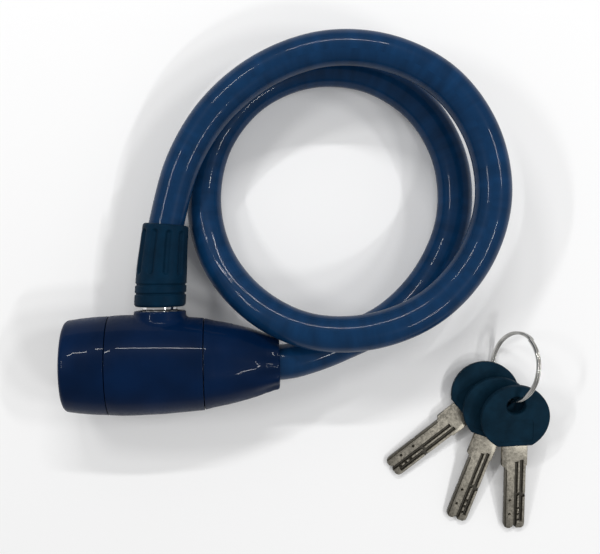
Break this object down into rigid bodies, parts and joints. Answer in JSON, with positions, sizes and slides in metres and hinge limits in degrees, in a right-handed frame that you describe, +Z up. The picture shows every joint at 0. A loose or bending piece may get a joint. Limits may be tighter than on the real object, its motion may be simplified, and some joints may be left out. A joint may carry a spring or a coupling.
{
  "type": "cable lock",
  "caption": "Key-operated coiled cable lock: barrel housing with a tapered boot, pull-out plug in a fluted rubber grip, sheathed steel cable in a double loop, keys on a split ring.",
  "frame": {"origin": "on the surface that the lock lies on, under the middle of the housing and the keys together, leaving out the cable and its plug", "axes": "+X along the barrel from its key end to its cable end, +Y along the plug's pull-out direction, +Z up from the surface"},
  "size_m": [0.1666, 0.1729, 0.034],
  "materials": {
    "housing_navy": "glossy navy moulded shell",
    "sheath_navy": "glossy, slightly translucent navy sheath",
    "grip_rubber": "matte navy rubber",
    "head_navy": "satin navy moulded head",
    "cast_zinc": "as cast",
    "nickel": "nickel plate, milled",
    "chrome": "polished",
    "ring_steel": "bright drawn steel",
    "steel": "plain",
    "tumbler_brass": "turned"
  },
  "bodies": {
    "housing": {"end_cap": "housing_navy", "barrel_shell": "housing_navy", "boot_cone": "housing_navy", "lock_body": "cast_zinc", "socket_bush": "steel", "cylinder_pin": "steel", "ferrule_pin": "steel", "cylinder_shell": "nickel", "cable_ferrule": "steel", "cable_sheath": "sheath_navy", "cable_core": "steel", "driver_pin_1": "tumbler_brass", "driver_pin_2": "tumbler_brass", "driver_pin_3": "tumbler_brass", "driver_pin_4": "tumbler_brass", "pin_spring_1": "steel", "pin_spring_2": "steel", "pin_spring_3": "steel", "pin_spring_4": "steel"},
    "cylinder": {"cylinder_plug": "nickel", "plug_clip": "steel", "drive_pin": "steel", "key_pin_1": "tumbler_brass", "key_pin_2": "tumbler_brass", "key_pin_3": "tumbler_brass", "key_pin_4": "tumbler_brass"},
    "bolt": {"locking_bolt": "steel"},
    "shackle": {"shackle_pin": "chrome", "plug_ferrule": "steel", "grip_sleeve": "grip_rubber"},
    "key_ring": {"split_ring": "ring_steel"},
    "key_1": {"key_head_1": "head_navy", "key_blade_1": "nickel"},
    "key_2": {"key_head_2": "head_navy", "key_blade_2": "nickel"},
    "key_3": {"key_head_3": "head_navy", "key_blade_3": "nickel"}
  },
  "joints": [
    {"name": "key_turn", "type": "hinge", "parent": "housing", "child": "cylinder", "pos_m": [-0.08272, 0.02192, 0.017], "axis": [1, 0, 0], "range_deg": [0, 90]},
    {"name": "bolt_slide", "type": "slide", "parent": "housing", "child": "bolt", "axis": [0, 0, -1], "range_m": [0, 0.00398]},
    {"name": "plug_pull", "type": "slide", "parent": "housing", "child": "shackle", "axis": [0, 1, 0], "range_m": [0, 0.026], "deforming": ["cable_sheath", "cable_core"]},
    {"name": "keys_lift", "type": "slide", "parent": "housing", "child": "key_ring", "axis": [0, 0, 1], "range_m": [0, 0.08]},
    {"name": "key_1_swing", "type": "hinge", "parent": "key_ring", "child": "key_1", "pos_m": [0.06698, 0.01082, 0.0047], "axis": [-0.0607, -0.0469, 0.9971], "range_deg": [-45, 8]},
    {"name": "key_2_swing", "type": "hinge", "parent": "key_ring", "child": "key_2", "pos_m": [0.06808, 0.00742, 0.00865], "axis": [-0.055, -0.151, 0.987], "range_deg": [-8, 5]},
    {"name": "key_3_swing", "type": "hinge", "parent": "key_ring", "child": "key_3", "pos_m": [0.07133, 0.00552, 0.0131], "axis": [0.0085, -0.2553, 0.9668], "range_deg": [-5, 45]}
  ],
  "couplings": [
    {"joint": "bolt_slide", "follows": "key_turn", "m_per_rad": 0.0025209}
  ]
}
